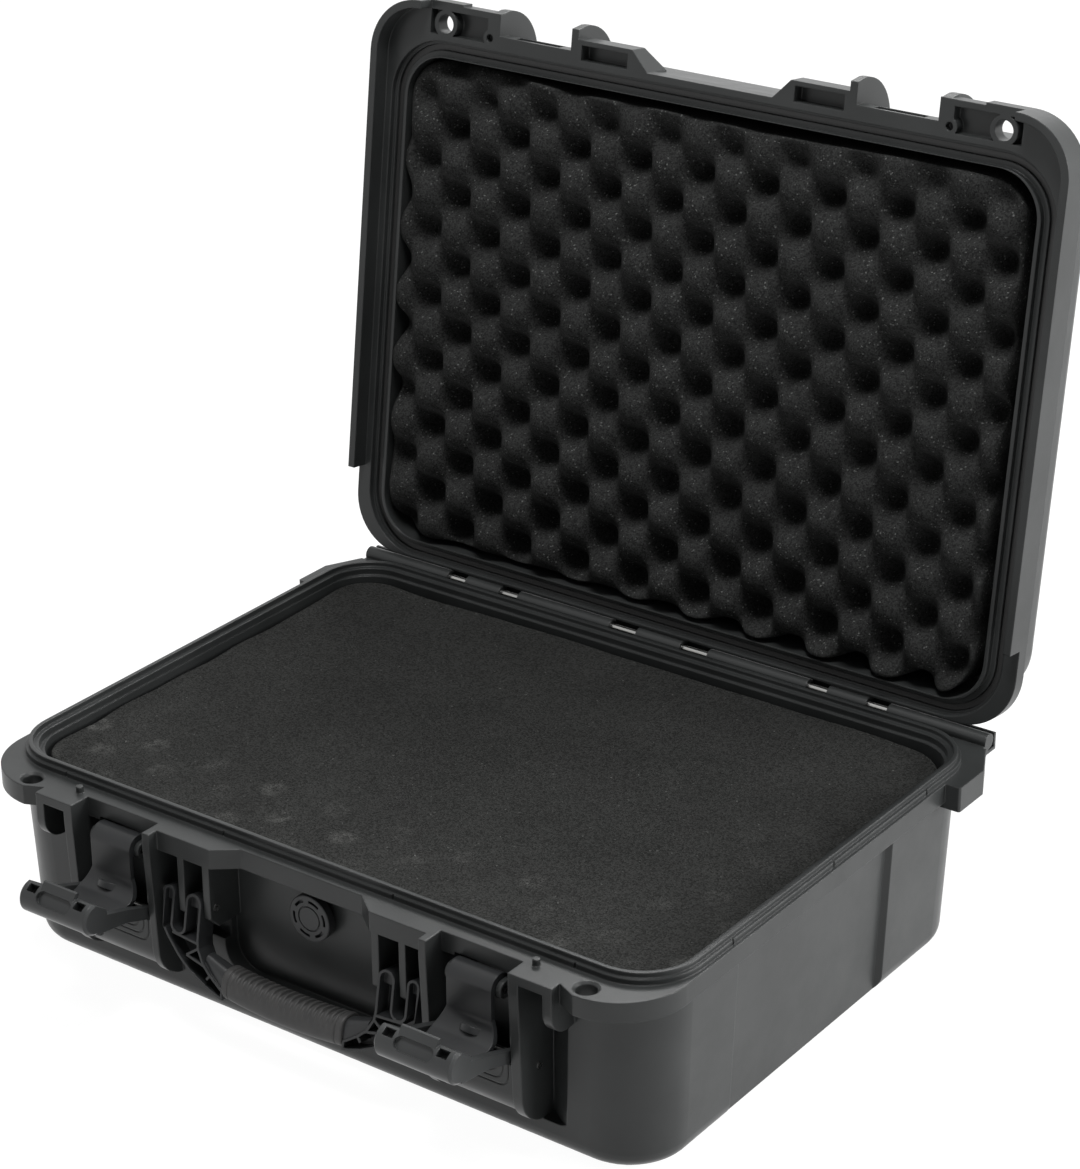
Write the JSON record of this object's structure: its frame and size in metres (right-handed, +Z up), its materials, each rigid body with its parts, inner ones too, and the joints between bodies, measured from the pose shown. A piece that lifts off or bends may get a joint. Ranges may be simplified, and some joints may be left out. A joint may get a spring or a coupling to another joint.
{
  "type": "microphone case",
  "caption": "Hard moulded carrying case standing open: foam-filled base, hinged lid with egg-crate foam, two draw latches, ribbed swing handle and pressure valve.",
  "frame": {"origin": "middle of the flat underside of the base, between front and hinge", "axes": "+X to the right seen from the front, -Y to the front where the latches and handle are, +Z up"},
  "size_m": [0.502, 0.5169, 0.497],
  "materials": {
    "shell": "fine grained satin moulding, near black",
    "hardware_plastic": "satin moulding, near black",
    "grip_rubber": "soft ribbed rubber, dark",
    "foam": "open-cell charcoal foam",
    "crate_foam": "open-cell charcoal foam, egg-crate face",
    "seal": "soft black rubber",
    "membrane": "white breathable membrane",
    "pin_steel": "bright steel"
  },
  "bodies": {
    "base": {"base_foam_bottom": "foam", "base_foam_middle": "foam", "base_foam_top": "foam", "base_shell": "shell", "handle_pin_left": "pin_steel", "handle_pin_right": "pin_steel", "hinge_pin_centre": "pin_steel", "hinge_pin_left": "pin_steel", "hinge_pin_right": "pin_steel", "latch_hook_pin_left": "pin_steel", "latch_hook_pin_right": "pin_steel", "latch_lever_pin_left": "pin_steel", "latch_lever_pin_right": "pin_steel", "valve_body": "hardware_plastic", "valve_seal": "seal", "valve_nut": "hardware_plastic", "valve_membrane": "membrane"},
    "lid": {"lid_shell": "shell", "lid_seal": "seal", "lid_foam": "crate_foam"},
    "handle": {"handle_frame": "hardware_plastic", "handle_grip": "grip_rubber"},
    "hook_left": {"latch_hook_left": "hardware_plastic"},
    "hook_right": {"latch_hook_right": "hardware_plastic"},
    "lever_left": {"latch_lever_left": "hardware_plastic"},
    "lever_right": {"latch_lever_right": "hardware_plastic"},
    "knob": {"valve_knob": "hardware_plastic"}
  },
  "joints": [
    {"name": "lid_hinge", "type": "hinge", "parent": "base", "child": "lid", "pos_m": [0, 0.1875, 0.1215], "axis": [1, 0, 0], "range_deg": [0, 97.5]},
    {"name": "handle_swing", "type": "hinge", "parent": "base", "child": "handle", "pos_m": [0, -0.1755, 0.08], "axis": [-1, 0, 0], "range_deg": [0, 95]},
    {"name": "valve_turn", "type": "hinge", "parent": "base", "child": "knob", "pos_m": [0, -0.161, 0.087], "axis": [0, -1, 0], "range_deg": [0, 90]},
    {"name": "hook_left_swing", "type": "hinge", "parent": "base", "child": "hook_left", "pos_m": [-0.13, -0.1685, 0.055], "axis": [-1, 0, 0], "range_deg": [0, 53.59]},
    {"name": "lever_left_swing", "type": "hinge", "parent": "base", "child": "lever_left", "pos_m": [-0.13, -0.1775, 0.1013], "axis": [1, 0, 0], "range_deg": [0, 24]},
    {"name": "hook_right_swing", "type": "hinge", "parent": "base", "child": "hook_right", "pos_m": [0.13, -0.1685, 0.055], "axis": [-1, 0, 0], "range_deg": [0, 53.59]},
    {"name": "lever_right_swing", "type": "hinge", "parent": "base", "child": "lever_right", "pos_m": [0.13, -0.1775, 0.1013], "axis": [1, 0, 0], "range_deg": [0, 24]}
  ],
  "couplings": [
    {"joint": "lever_left_swing", "follows": "hook_left_swing", "ratio": 0.4477},
    {"joint": "lever_right_swing", "follows": "hook_right_swing", "ratio": 0.4477}
  ]
}
